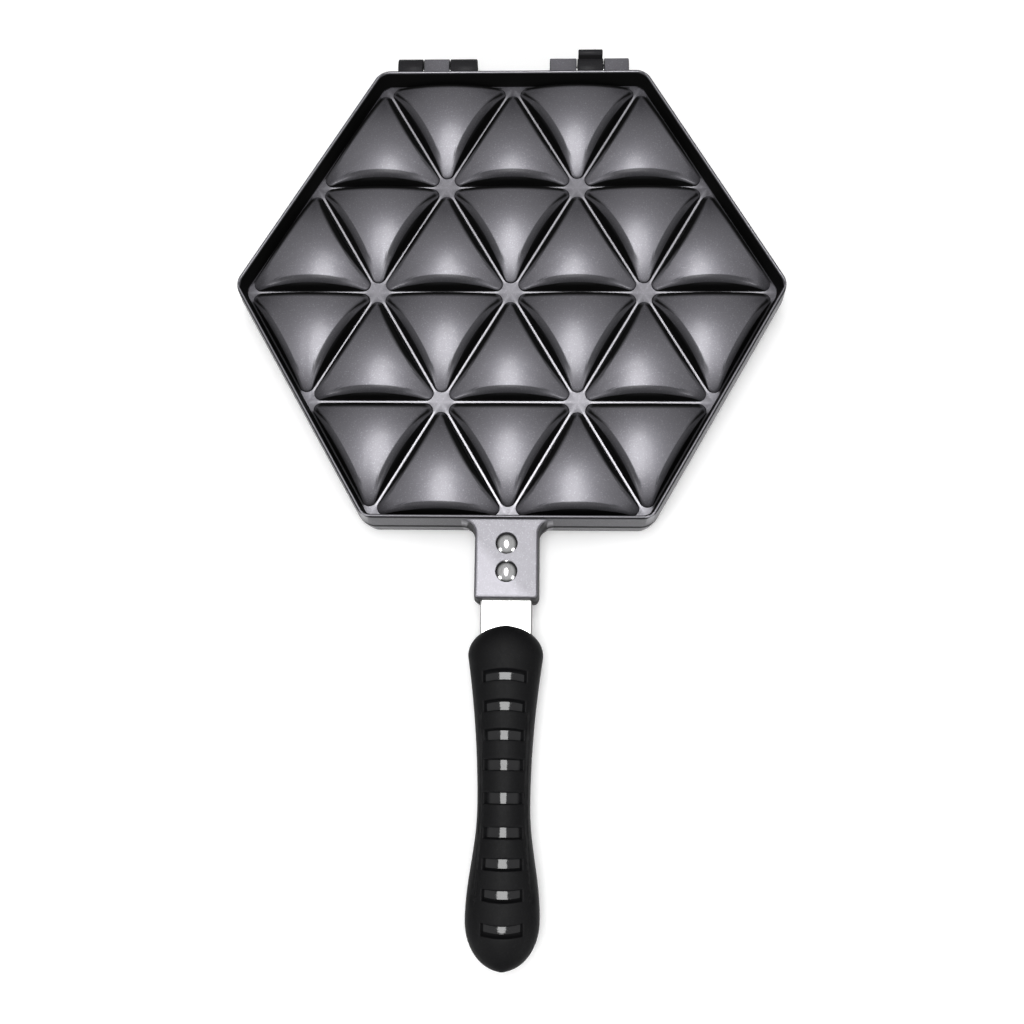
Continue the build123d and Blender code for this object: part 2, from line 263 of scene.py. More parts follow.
def base_ring(inset, corner):
    """Rounded triangle pointing to +Y, inset from the pattern line: its points, their
    inward normals, and where the normals run out to the pattern line."""
    to_corner = np.radians(90 + 120 * np.arange(3))
    centre_out = pitch / sqrt(3) - 2 * (inset + corner)
    centres = centre_out * np.stack([np.cos(to_corner), np.sin(to_corner)], -1)
    swing = np.radians(-60 + 120 * np.arange(corner_steps) / corner_steps)
    arc = to_corner[:, None] + swing
    arc_away = np.stack([np.cos(arc), np.sin(arc)], -1)
    arc_points = centres[:, None] + corner * arc_away
    reach = (inset + corner) / np.cos(np.radians(60) - np.abs(swing))
    arc_outer = centres[:, None] + arc_away * reach[None, :, None]
    side = to_corner + radians(60)
    away = np.stack([np.cos(side), np.sin(side)], -1)[:, None]
    along = np.stack([-np.sin(side), np.cos(side)], -1)[:, None]
    length = pitch - 2 * sqrt(3) * (inset + corner)
    steps = length * np.arange(side_steps)[None, :, None] / side_steps
    side_points = centres[:, None] + corner * away + along * steps
    points = np.concatenate([arc_points, side_points], 1).reshape(-1, 2)
    outward = np.concatenate([arc_away, away + 0 * steps], 1).reshape(-1, 2)
    outer = np.concatenate([arc_outer, side_points + inset * away], 1).reshape(-1, 2)
    return points, -outward, outer


def along_side(slope, out, lower, reach):
    """Depth d at which the line of height slope d is as far as reach from the point
    (out, -lower): the positive root of (d - out)^2 + (slope d + lower)^2 = reach^2."""
    half = out - slope * lower
    steep = 1 + slope ** 2
    return (half + np.sqrt(half ** 2 - steep * (out ** 2 + lower ** 2 - reach ** 2))) / steep


def corner_reach(count):
    """How deep the soft edge may reach: little in the corners, where the rings would
    cross, and 0.7 mm more for each step along a side towards its middle."""
    step = np.arange(count) % (side_steps + corner_steps)
    along = np.minimum(step - corner_steps, side_steps + corner_steps - step)
    return 1.5 + 0.7 * np.maximum(along, 0)


def soft_edge(base, inward, slope, sphere, rise, radius):
    """Depths and heights, (7, around), of the small arc that touches side and cushion.
    Its centre is radius from both; it gets smaller where the side is low."""
    out = -(base * inward).sum(1)
    section = np.sqrt(sphere ** 2 - (base ** 2).sum(1) + out ** 2)
    lower = sphere - rise
    length = sqrt(1 + slope ** 2)
    crest = along_side(slope, out, lower, section)
    bend = np.arctan(slope) - np.arctan2(out - crest, slope * crest + lower)
    room = np.minimum(0.75 * crest * length, corner_reach(len(crest)) - crest)
    radius = np.minimum(radius, room / np.tan(bend / 2))
    centre = along_side(slope, out, lower - radius * length, section - radius)
    height = slope * centre - radius * length
    first = np.arctan2(1, -slope)
    last = np.arctan2(height + lower, centre - out)
    turn = first + (last - first) * np.linspace(0, 1, 7)[:, None]
    return centre + radius * np.cos(turn), height + radius * np.sin(turn)


def triangle_rings(inset, corner, draft, sphere, rise, crest, foot, floor):
    """Rings of one dome from the pattern line inwards, (rings, around, 3), and its middle.
    Side height is depth / tan(draft); the sphere stands rise above the floor there."""
    base, inward, outer = base_ring(inset, corner)
    slope = 1 / tan(radians(draft))
    arc_depth, arc_height = soft_edge(base, inward, slope, sphere, rise, crest)
    depths = [-inset + 0 * arc_depth[0], -foot + 0 * arc_depth[0], -0.3 * foot + 0 * arc_depth[0]]
    depths += [arc_depth[0] * share for share in (0.1, 0.35, 0.7)]
    depth = np.vstack([depths, arc_depth])
    plan = base + inward * depth[..., None]
    plan[0] = outer
    closer = np.array([0.03, 0.08, 0.15, 0.25, 0.38, 0.51, 0.64, 0.77, 0.89])[:, None, None]
    far = np.linalg.norm(plan[-1], axis=1)[:, None]
    circle = plan[-1] / far * far.min()
    inner = (1 - closer) * (plan[-1] + (circle - plan[-1]) * closer)
    ball = rise + np.sqrt(sphere ** 2 - (inner ** 2).sum(-1)) - sphere
    height = np.vstack([np.maximum(depth[:6] * slope, 0), arc_height, ball])
    height[1:4] += [[0.0], [0.1 * foot], [0.05 * foot]]
    plan = np.concatenate([plan, inner])
    return np.dstack([plan, floor + height]), np.array([0, 0, floor + rise])


dome = triangle_rings(inset=dome_inset, corner=3.46, draft=dome_draft, sphere=53.0,
                      rise=10.0, crest=3.6, foot=0.12, floor=web)
pocket = triangle_rings(inset=2.17, corner=3.6, draft=dome_draft, sphere=50.7,
                        rise=10.3, crest=1.6, foot=0.18, floor=meet_gap)
print("dome top", round(dome[1][2], 2), "pocket", round(pocket[1][2], 2), "rings", len(dome[0]))

# %% [markdown]
# ## The plate of 24 domes
#
# Rows of five, seven, seven and five triangles fill the six-sided plate.  The ring grid
# is laid on each, and the points on the pattern lines are welded, so that the sheet is
# one surface.  The pockets are a second sheet below it, and a strip that hides in the
# rim closes the two.


# %% Lay the triangles
into_rim = 1.0106  # the closing strip lies this much farther out, inside the rim


def triangle_places():
    """Middle and turn of each triangle, rows counted from the middle both ways."""
    places = []
    for row in (0, 1):
        for count, rise, turn in ((4 - row, 1 / 3, 1), (3 - row, 2 / 3, -1)):
            for k in range(count):
                x = pitch * (k - (count - 1) / 2)
                y = row_height * (row + rise)
                places.append((x, y, turn))
                places.append((x, -y, -turn))
    return np.array(places)


def sheet(rings, middle, faces_up):
    """The rings on every place, each closed by a fan at its middle, welded."""
    count = len(rings)
    one = np.vstack([rings.reshape(-1, 3), middle])
    last = (count - 1) * around + np.arange(around)
    fan = np.stack([last, np.roll(last, -1), np.full(around, len(one) - 1)], -1)
    quads = grid_faces(count, around, close_columns=True)
    if not faces_up:
        fan = fan[:, ::-1]
        quads = quads[:, ::-1]
    places = triangle_places()
    turned = one[None] * np.stack([places[:, 2], places[:, 2], places[:, 2] ** 2], -1)[:, None]
    points = turned + (places * [1, 1, 0])[:, None]
    starts = np.arange(len(places))[:, None, None] * len(one)
    return weld(points.reshape(-1, 3), [(quads + starts).reshape(-1, 4), (fan + starts).reshape(-1, 3)])


def edge_of(points):
    """Points on the six outer pattern lines, in order around the plate."""
    angle = np.arctan2(points[:, 1], points[:, 0])
    side = np.radians(30 + 60 * np.round((np.degrees(angle) - 30) / 60))
    reach = points[:, 0] * np.cos(side) + points[:, 1] * np.sin(side)
    on = np.where(np.abs(reach - 2 * row_height) < 0.01)[0]
    return points[on[np.argsort(angle[on])]]


def plate_shell():
    """Dome sheet, pocket sheet and the strip between them, welded to one closed shell."""
    tops = sheet(*dome, True)
    lows = sheet(*pocket, False)
    top_edge = edge_of(tops[0])
    low_edge = edge_of(lows[0])
    grow = np.array([into_rim, into_rim, 1])
    strip = np.vstack([low_edge, low_edge * grow, top_edge * grow, top_edge])
    strip_faces = grid_faces(4, len(top_edge), close_columns=True)
    return weld(*join([tops, lows, (strip, [strip_faces])]))


plate = plate_shell()
print("plate", len(plate[0]), "points")

# %% [markdown]
# ## The rim
#
# The wall around the domes is thin at its top, and both its faces lean with the draft
# that a casting needs to leave its mould.  Its plan is a hexagon with round corners.  A
# profile of distance and height is carried round that hexagon, and the corner radius
# grows and shrinks with the distance, so the wall keeps its thickness in the corners.


# %% Sweep the rim
corner_points = 10


def hexagon(apothem):
    """Rounded hexagon at that distance across, its corner arcs about fixed centres."""
    centre_out = (wall_half - outer_corner) / cos(radians(30))
    radius = outer_corner - (wall_half - apothem)
    corners = np.radians(60 * np.arange(6))[:, None]
    swing = np.radians(np.linspace(-30, 30, corner_points))
    x = centre_out * np.cos(corners) + radius * np.cos(corners + swing)
    y = centre_out * np.sin(corners) + radius * np.sin(corners + swing)
    return np.stack([x.reshape(-1), y.reshape(-1)], -1)


def rim_shell():
    """Closed ring: up the inner wall, over the round lip, down the outer wall."""
    top = half_height
    lean = tan(radians(outer_draft))
    profile = [(103.9, 2.3), (104.02, 2.72), (104.2, 2.86), (104.3, 3.2), (105.0, 12.15)]
    lip = np.radians(np.linspace(170, 5, 7))
    profile += [(105.78 + 0.72 * cos(a), top - 0.62 + 0.62 * sin(a)) for a in lip]
    profile += [(wall_half - level * lean, level) for level in (11.3, 1.9, 1.5)]
    profile += [(107.5, 0.25), (107.25, meet_gap), (106.9, meet_gap)]
    profile += [(105.1, meet_gap), (104.9, 0.3), (104.0, 1.2)]
    count = 6 * corner_points
    rings = [np.column_stack([hexagon(a), np.full(count, z)]) for a, z in profile]
    faces = grid_faces(len(profile), count, close_rows=True, close_columns=True)
    return np.vstack(rings), [faces[:, ::-1]]


rim = rim_shell()
print("rim", len(rim[0]), "points")

# %% [markdown]
# ## The neck
#
# The bar of the grip is riveted into a short neck: a top plate with two side walls, open
# towards the meeting face.  It grows out of the wall with a flare on each side.  Each
# level of it is the same outline at another height, so the sides lean and the upper edge
# can be rounded by drawing the last few outlines in.

# %% Stack the neck
neck_half = 13.9
neck_end = 140.7
neck_top = 10.8
neck_lean = tan(radians(3.0))
channel_half = 11.05
channel_top = 5.4
neck_back = -105.3  # its sides end here, inside the rim


def neck_side(z, inset):
    """Right-hand outline from the front to behind the wall, at height z, drawn in by inset."""
    half = neck_half - z * neck_lean
    front = -neck_end + z * neck_lean
    wall = -wall_half + z * tan(radians(outer_draft))
    flare = 6.0
    corner = 1.8
    a = np.radians(np.linspace(-90, 0, 8))
    x = half - corner + (corner - inset) * np.cos(a)
    y = front + corner + (corner - inset) * np.sin(a)
    b = np.radians(np.linspace(180, 90, 10))
    x = np.append(x, half + flare + (flare + inset) * np.cos(b))
    y = np.append(y, wall - flare + (flare + inset) * np.sin(b))
    x = np.append(x, x[-1])
    y = np.append(y, neck_back)
    return np.column_stack([x, y, np.full(len(x), z)])


def stacked(rings):
    """Closed shell from rings that go up, each counted to the left: sides and flat ends."""
    n = len(rings[0])
    points = np.vstack(rings)
    bottom = np.arange(n)[None, ::-1]
    top = (len(rings) - 1) * n + np.arange(n)[None]
    return points, [grid_faces(len(rings), n, close_columns=True), bottom, top]


def neck_shells():
    """Top plate with a rounded edge, and the two side walls of the channel."""
    levels = [(channel_top, 0), (9.9, 0), (10.2, 0.05), (10.5, 0.2), (10.7, 0.45), (neck_top, 0.8)]
    rings = []
    for z, inset in levels + [(neck_top, 1.3)]:
        right = neck_side(z, inset)
        rings.append(np.vstack([right[::-1] * [-1, 1, 1], right]))
    shells = [stacked(rings)]
    walls = []
    for z, inset in [(meet_gap, 0.35), (0.4, 0), (channel_top + 0.05, 0)]:
        outer = neck_side(z, inset)
        inner = [[channel_half, neck_back, z], [channel_half, outer[0, 1], z]]
        walls.append(np.vstack([outer, inner]))
    shells.append(stacked(walls))
    shells.append(stacked([w[::-1] * [-1, 1, 1] for w in walls]))
    return shells


neck = neck_shells()
print("neck", sum(len(s[0]) for s in neck), "points")

# %% [markdown]
# ## The hinge
#
# Each casting has a fork of two lugs on one side and a single knuckle on the other, so
# that two equal castings make a hinge when one is turned over.  A lug is round about the
# hinge line and flat on its outer side.  The knuckle has a finger that turns towards the
# other casting as the pan opens, and would stop it about 2 degrees after the joint's limit.

# %% Lugs and stop finger
knuckle = 5.5
lug_flat = 4.0
fork_spans = [(17.2, 29.9), (42.9, 54.6)]
knuckle_span = (-42.5, -30.3)
fork_bore, knuckle_bore = 2.02, 2.06
finger_set_in = 0.4
round_steps = 34


def lug_shell(near, far, hole):
    """Ring about the hinge line: round below, flat on top, run into the wall at the back.
    The bore's steps of up to 30 degrees above reach 0.01 mm into the pin of the knuckle."""
    back = 9.0
    root_ray = 180 - 6.34
    angle = np.concatenate([np.linspace(root_ray, 360 + 46.6, round_steps), [60, 90, 120, 145, 156.04],
                            [165, root_ray - 0.01]])
    a = np.radians(angle)
    flat_to = round_steps + 5
    radius = np.concatenate([np.full(round_steps, knuckle), lug_flat / np.sin(a[round_steps:flat_to]),
                             -back / np.cos(a[flat_to:])])
    ring = np.stack([np.cos(a), np.sin(a)], -1)
    edge = 0.45
    tube = [(near + edge, 0), (near + 0.13, 0.13), (near, edge), (near, None), (near + 0.2, -1)]
    tube += [(far - 0.2, -1), (far, None), (far, edge), (far - 0.13, 0.13), (far - edge, 0)]
    rows = []
    for x, inset in tube:
        if inset is None:
            r = np.full(len(a), hole + 0.2)
        elif inset < 0:
            r = np.full(len(a), hole)
        else:
            r = radius - inset
        plan = ring * r[:, None]
        rows.append(np.column_stack([np.full(len(a), x), hinge_y + plan[:, 0], plan[:, 1]]))
    faces = grid_faces(len(rows), len(a), close_rows=True, close_columns=True)
    return np.vstack(rows), [faces]


def finger_shell(near, far):
    """Rounded bar from beside the pin to the stop: outline of two circles and tangents."""
    radius = 1.75
    start = np.array([3.6, 0.0])
    stop = np.array([5.8, -5.1])
    lean = np.degrees(np.arctan2(*(stop - start)[::-1]))
    first = np.radians(np.linspace(lean + 90, lean + 270, 9))
    second = np.radians(np.linspace(lean - 90, lean + 90, 13))
    rows = []
    for x, inset in [(near, 0.5), (near + 0.12, 0.15), (near + 0.45, 0),
                     (far - 0.45, 0), (far - 0.12, 0.15), (far, 0.5)]:
        r = radius - inset
        y = np.append(start[0] + r * np.cos(first), stop[0] + r * np.cos(second))
        z = np.append(start[1] + r * np.sin(first), stop[1] + r * np.sin(second))
        rows.append(np.column_stack([np.full(len(y), x), hinge_y + y, z]))
    return stacked(rows)


lugs = [lug_shell(near, far, fork_bore) for near, far in fork_spans]
lugs.append(lug_shell(*knuckle_span, knuckle_bore))
lugs.append(finger_shell(knuckle_span[0] + finger_set_in, knuckle_span[1] - finger_set_in))
print(len(lugs), "hinge shells")

# %% [markdown]
# Plate, rim, neck and lugs overlap inside the metal and make one piece, used twice.

# %% The two castings
casting = [plate, rim] + neck + lugs
make_piece("upper_casting", casting, "upper", "upper_half", "coated_casting", "upper_pan")
make_piece("lower_casting", casting, "lower", "lower_half", "coated_casting", "lower_pan")

# %% [markdown]
# ## The grip
#
# The grip is a matt sleeve over a glossy core.  Its section is a flat-bottomed arch, its
# plan has a round nose, a waist for the fingers and a round tail.  Nine bowed slots go
# through the sleeve's crown, and a fine groove runs along both ends of the slots.
#
# The sleeve is one grid over the arch.  Its rows bend with the slots and its columns
# keep to the strip of slots, so a slot is simply a block of cells left out, and the
# surface dips along its rows and columns where the edge is rounded.

# %% Form of the grip
nose_centre, nose_length, bulge_half = -163.5, 12.4, 15.7
waist_at, waist_half = -224.8, 10.7
tail_centre, tail_length, tail_half = -268.0, 19.0, 14.9
grip_flat, wide_at, crown_top, end_crown = 0.6, 4.0, 12.2, 6.6
slot_places = np.array([-171.7, -184.0, -195.8, -207.8, -221.0, -234.4, -246.5, -258.5, -271.7])
slot_bows = np.array([1.2, 0.8, 0.5, 0.2, 0.0, 0.0, -0.2, -0.7, -1.2])
slot_halves = np.array([9.1, 8.5, 8.1, 8.0, 7.9, 7.9, 7.9, 8.0, 8.2])
slot_length = 4.3
sleeve_wall = 1.8
edge_round = 0.6


def end_share(y):
    """0 along the grip, up to 1 at the tip of nose and tail."""
    t = np.maximum((y - nose_centre) / nose_length, (tail_centre - y) / tail_length)
    return np.sqrt(1 - np.clip(t, 0, 0.9999) ** 2)


def plan_half(y):
    """Half width: ellipse at nose and tail, two easing curves to the waist between."""
    u = np.clip((nose_centre - y) / (nose_centre - waist_at), 0, 1)
    v = np.clip((waist_at - y) / (waist_at - tail_centre), 0, 1)
    front = waist_half + (bulge_half - waist_half) * (1 - u) ** 1.9
    rear = waist_half + (tail_half - waist_half) * (0.5 - 0.5 * np.cos(np.pi * v))
    return np.where(y > waist_at, front, rear) * end_share(y)


def crown(y):
    """Height of the arch, lower at the blunt ends."""
    return end_crown + (crown_top - end_crown) * end_share(y)


def row_places():
    """Rows along the grip: crowded at the tips and at the edges of the slots."""
    ease = np.cos(np.radians(np.linspace(7, 87, 12)))
    rows = [nose_centre + nose_length * ease, tail_centre - tail_length * ease]
    rows.append(np.linspace(nose_centre - 0.3, tail_centre + 0.3, 70))
    away = slot_length / 2 + edge_round * np.array([0, 0.12, 0.35, 0.65, 1])
    keep = np.concatenate(rows)
    gap = np.abs(keep[:, None] - slot_places).min(1)
    keep = keep[gap > away[-1] + 0.25]
    edges = (slot_places[:, None] + np.concatenate([away, -away])).reshape(-1)
    middles = (slot_places[:, None] + np.array([-1.0, 0, 1.0])).reshape(-1)
    return np.sort(np.concatenate([keep, edges, middles]))[::-1]


strip_share = np.array([0, 0.18, 0.36, 0.54, 0.72, 0.86])
edge_steps = np.concatenate([[-0.5, -0.22], 0.19 * np.arange(19)])
groove_near, groove_mid, groove_far = (10.0, -186.0), (9.15, -221.0), (11.4, -262.0)
groove_half = 0.4
groove_deep = 0.8
rows = row_places()
print(len(rows), "rows along the grip")

# %% [markdown]
# A column of the grid is a place across the arch.  Inside the strip it keeps its distance
# from the middle line, so the slots have straight ends.  Outside it the rest of the way
# to the flat side is shared out by angle.


# %% Fields of the grid
def strip_half(y):
    """Half width of the strip of slots, wider at its ends, and narrow in the grip's tips."""
    return np.minimum(np.interp(-y, -slot_places, slot_halves), 0.86 * plan_half(y))


def groove_at(y):
    """Distance of a groove from the middle: the arc through its three given points."""
    (x1, y1), (x2, y2), (x3, y3) = groove_near, groove_mid, groove_far
    share2 = (y - y1) * (y - y3) / ((y2 - y1) * (y2 - y3))
    share1 = (y - y2) * (y - y3) / ((y1 - y2) * (y1 - y3))
    return x1 * share1 + x2 * share2 + x3 * (1 - share1 - share2)


def grip_columns():
    """Two fields, (rows, columns), from the left flat edge over the crown to the right:
    share of the half width in the upper part, and how far down to the flat side."""
    half = strip_half(rows)[:, None]
    a = plan_half(rows)[:, None]
    room = np.minimum(1, 0.92 * (a - half) / edge_steps[-1])
    edge = half + edge_steps * np.where(edge_steps < 0, np.minimum(1, half / 9), room)
    start = np.arccos(edge[:, -1:] / a)
    outer = a * np.cos(start * (1 - np.linspace(0.14, 1, 8) ** 0.8))
    right = np.concatenate([half * strip_share, edge, outer], 1) / a
    low = np.linspace(0.2, 1, 6) + 0 * a
    share = np.concatenate([right, 1 + 0 * low], 1)
    low = np.concatenate([0 * right, low], 1)
    return (np.concatenate([-share[:, :0:-1], share], 1),
            np.concatenate([low[:, :0:-1], low], 1))


def arch(y, share, low, inset):
    """Points of the arch drawn in by inset: half an ellipse above the widest level, and a
    shallow arc from there down to the flat side."""
    a = plan_half(y)
    a = a - inset * np.minimum(1, a / 6)
    top = crown(y) - inset
    bulge = 7.625
    swing = low * np.arcsin((wide_at - grip_flat) / bulge)
    drawn = np.minimum(bulge * (1 - np.cos(swing)), 0.5 * a)
    x = np.where(low > 0, np.sign(share) * (a - drawn), a * share)
    z = wide_at + (top - wide_at) * np.sqrt(np.maximum(1 - share ** 2, 0))
    z = np.where(low > 0, wide_at - bulge * np.sin(swing), z)
    middle = (nose_centre + nose_length + tail_centre - tail_length) / 2
    length = (nose_length + nose_centre - tail_centre + tail_length) / 2
    return np.stack([x, middle + (y - middle) * (1 - inset / length), z], -1)


def tip_caps(rows_count, columns):
    """Faces that close the first and the last row, left half against right half.  They face
    inwards, a fault that is left: rims_of then adds a hidden wall along their borders."""
    j = np.arange(columns // 2 - 1)
    quads = np.stack([j, j + 1, columns - 2 - j, columns - 1 - j], -1)
    m = columns // 2
    tri = np.array([[m - 1, m, m + 1]])
    last = (rows_count - 1) * columns
    return np.concatenate([quads[:, ::-1], quads + last]), np.concatenate([tri[:, ::-1], tri + last])


share, low = grip_columns()
columns = share.shape[1]
caps, cap_ends = tip_caps(len(rows), columns)
print("grip grid", share.shape)

# %% [markdown]
# The sleeve's outer face dips at the rims of the slots, as a quarter round, and in the
# two grooves.  Its inner face is the same arch a wall deeper.  Where the faces have an
# open rim, around each slot and along the flat side, a narrow wall joins them.


# %% The sleeve
def rims_of(faces):
    """Edges of quads that no other face runs along the other way."""
    edges = np.concatenate([f[:, [k, (k + 1) % f.shape[1]]] for f in faces for k in range(f.shape[1])])
    size = edges.max() + 1
    codes = edges[:, 0] * size + edges[:, 1]
    return edges[~np.isin(codes, edges[:, 1] * size + edges[:, 0])]


def sleeve_shell():
    """The sleeve without open edges: outer face, inner face and the walls between."""
    y = rows[:, None] + 0 * share
    half = strip_half(y)
    across = np.abs(share) * plan_half(y)
    knots = np.concatenate([[nose_centre + 6], slot_places, [tail_centre - 12]])
    bow = np.interp(-y, -knots, np.concatenate([[0], slot_bows, [0]]))
    fade = np.clip((plan_half(y) - across) / (plan_half(y) - half), 0, 1)
    bent = y - bow * np.minimum(across / half, 1) ** 2 * fade * (low == 0)
    off_row = np.abs(y[..., None] - slot_places).min(-1) - slot_length / 2
    off_side = across - half
    off = np.hypot(np.maximum(off_row, 0), np.maximum(off_side, 0))
    near = np.clip(edge_round - off, 0, edge_round)
    dip = edge_round - np.sqrt(edge_round ** 2 - near ** 2)
    ends = np.clip((groove_near[1] - y) / 2, 0, 1) * np.clip((y - groove_far[1]) / 2, 0, 1)
    across_groove = np.clip(np.abs(across - groove_at(y)) / (1.3 * groove_half), 0, 1)
    groove = groove_deep * ends * (1 - across_groove ** 2) ** 2 * (low == 0)
    dip = np.maximum(dip, groove)
    skin = arch(bent, share, low, 0)
    normal = np.cross(np.gradient(skin, axis=0), np.gradient(skin, axis=1))
    normal /= np.linalg.norm(normal, axis=-1, keepdims=True)
    outside = (skin - normal * dip[..., None]).reshape(-1, 3)
    inside = arch(bent, share, low, sleeve_wall).reshape(-1, 3)
    quads = grid_faces(len(rows), columns)[:, ::-1]
    row, column = np.divmod(np.arange(len(quads)), columns - 1)
    centre = (rows[row] + rows[row + 1]) / 2
    reach = len(strip_share) - 1 + int((edge_steps <= 0).sum())
    in_row = np.abs(centre[:, None] - slot_places).min(1) < slot_length / 2
    in_strip = np.abs(column + 0.5 - columns // 2) < reach
    faces = [quads[~(in_row & in_strip)], caps, cap_ends]
    rims = rims_of(faces)
    n = len(outside)
    walls = np.stack([rims[:, 1], rims[:, 0], rims[:, 0] + n, rims[:, 1] + n], -1)
    back = [f[:, ::-1] + n for f in faces]
    print("sleeve rims", len(rims))
    return np.vstack([outside, inside]), faces + [walls] + back


sleeve = [sleeve_shell()]
for half, body in (("upper", "upper_half"), ("lower", "lower_half")):
    make_piece(half + "_sleeve", sleeve, half, body, "matt_grip", half + "_grip_sleeve")

# %% [markdown]
# ## Finishes
#
# The castings have a blasted, sprayed coat: dark grey, with a fine grain that breaks up
# the light.  The grain is a bump and a slight change of tone and gloss.  Groups hold what
# several finishes share, and they give only values and normals.


# %% Node helpers
def new_group(name, inputs, outputs):
    """Empty node group with float, vector or colour sockets."""
    group = bpy.data.node_groups.new(name, "ShaderNodeTree")
    for label, kind, value in inputs:
        socket = group.interface.new_socket(label, in_out="INPUT", socket_type=kind)
        if value is not None:
            socket.default_value = value
    for label, kind in outputs:
        group.interface.new_socket(label, in_out="OUTPUT", socket_type=kind)
    start = group.nodes.new("NodeGroupInput")
    end = group.nodes.new("NodeGroupOutput")
    return group, start, end


def noise(tree, vector, scale, detail, rough=0.6):
    """Noise texture on a vector; scale counts per metre."""
    node = tree.nodes.new("ShaderNodeTexNoise")
    node.inputs["Scale"].default_value = scale
    node.inputs["Detail"].default_value = detail
    node.inputs["Roughness"].default_value = rough
    tree.links.new(vector, node.inputs["Vector"])
    return node.outputs["Fac"]


def to_range(tree, value, low_in, high_in, low_out, high_out):
    """Map a value from one range to another, held at both ends."""
    node = tree.nodes.new("ShaderNodeMapRange")
    for label, number in (("From Min", low_in), ("From Max", high_in),
                          ("To Min", low_out), ("To Max", high_out)):
        node.inputs[label].default_value = number
    tree.links.new(value, node.inputs["Value"])
    return node.outputs["Result"]


def maths(tree, operation, first, second):
    """One Math node; an argument is a socket or a number."""
    node = tree.nodes.new("ShaderNodeMath")
    node.operation = operation
    for socket, value in zip(node.inputs, (first, second)):
        if isinstance(value, (int, float)):
            socket.default_value = value
        else:
            tree.links.new(value, socket)
    return node.outputs[0]


def bump(tree, height, distance, strength):
    """Normal from a height in metres times distance."""
    node = tree.nodes.new("ShaderNodeBump")
    node.inputs["Distance"].default_value = distance
    node.inputs["Strength"].default_value = strength
    tree.links.new(height, node.inputs["Height"])
    return node.outputs["Normal"]


# %% [markdown]
# Three groups: the sprayed grain, the outward edges (a mask for wear, and on the coat also
# for a painted edge highlight) and the lines of a brushed face.


# %% Shared groups
def grain_group():
    """Sprayed grain: fine specks on a broad soft unevenness.  Height and specks, 0 to 1."""
    group, start, end = new_group("sprayed grain", [("Place", "NodeSocketVector", None)],
                                  [("Height", "NodeSocketFloat"), ("Specks", "NodeSocketFloat"),
                                   ("Broad", "NodeSocketFloat")])
    place = start.outputs["Place"]
    fine = noise(group, place, 2600, 3)
    middle = noise(group, place, 700, 2)
    specks = to_range(group, noise(group, place, 1700, 2, 0.5), 0.56, 0.74, 0, 1)
    height = maths(group, "ADD", maths(group, "MULTIPLY", fine, 0.6), maths(group, "MULTIPLY", middle, 0.4))
    group.links.new(height, end.inputs["Height"])
    group.links.new(specks, end.inputs["Specks"])
    group.links.new(noise(group, place, 28, 3), end.inputs["Broad"])
    return group


def edge_group():
    """How far a point lies on an outward edge: pointiness of the mesh, 0 to 1.  It marks wear,
    and on the coat also a painted edge highlight.
    """
    group, start, end = new_group("worn edges", [("From", "NodeSocketFloat", 0.51),
                                                 ("To", "NodeSocketFloat", 0.56)],
                                  [("Mask", "NodeSocketFloat")])
    geometry = group.nodes.new("ShaderNodeNewGeometry")
    node = group.nodes.new("ShaderNodeMapRange")
    group.links.new(geometry.outputs["Pointiness"], node.inputs["Value"])
    group.links.new(start.outputs["From"], node.inputs["From Min"])
    group.links.new(start.outputs["To"], node.inputs["From Max"])
    group.links.new(node.outputs["Result"], end.inputs["Mask"])
    return group


def brush_group():
    """Lines of a brushed face: noise drawn out along one axis by the stretch."""
    group, start, end = new_group("brushed lines", [("Place", "NodeSocketVector", None),
                                                    ("Stretch", "NodeSocketVector", (1, 1, 1))],
                                  [("Lines", "NodeSocketFloat"), ("Wear", "NodeSocketFloat")])
    node = group.nodes.new("ShaderNodeVectorMath")
    node.operation = "MULTIPLY"
    group.links.new(start.outputs["Place"], node.inputs[0])
    group.links.new(start.outputs["Stretch"], node.inputs[1])
    group.links.new(noise(group, node.outputs[0], 1500, 3), end.inputs["Lines"])
    group.links.new(noise(group, start.outputs["Place"], 60, 3), end.inputs["Wear"])
    return group


grain = grain_group()
edges = edge_group()
brushed = brush_group()
print("groups:", [g.name for g in bpy.data.node_groups])


# %% One function for a material's start
def begin(name):
    """Emptied node tree of a slot's material with Principled BSDF and Object coordinates."""
    material = bpy.data.materials[name]
    material.use_nodes = True
    tree = material.node_tree
    tree.nodes.clear()
    out = tree.nodes.new("ShaderNodeOutputMaterial")
    shader = tree.nodes.new("ShaderNodeBsdfPrincipled")
    tree.links.new(shader.outputs["BSDF"], out.inputs["Surface"])
    place = tree.nodes.new("ShaderNodeTexCoord").outputs["Object"]
    return tree, shader, place


def use_group(tree, group, place=None, **values):
    """Instance of a group, with its place linked and other inputs set."""
    node = tree.nodes.new("ShaderNodeGroup")
    node.node_tree = group
    if place is not None:
        tree.links.new(place, node.inputs["Place"])
    for label, value in values.items():
        node.inputs[label].default_value = value
    return node.outputs


def mix_colour(tree, factor, first, second):
    """Mix of two colours; each is a socket or an RGB tuple."""
    node = tree.nodes.new("ShaderNodeMix")
    node.data_type = "RGBA"
    tree.links.new(factor, node.inputs["Factor"])
    for label, value in (("A", first), ("B", second)):
        socket = [s for s in node.inputs if s.name == label and s.type == "RGBA"][0]
        if isinstance(value, tuple):
            socket.default_value = (*value, 1)
        else:
            tree.links.new(value, socket)
    return [s for s in node.outputs if s.type == "RGBA"][0]


print("materials:", sorted(m.name for m in bpy.data.materials))
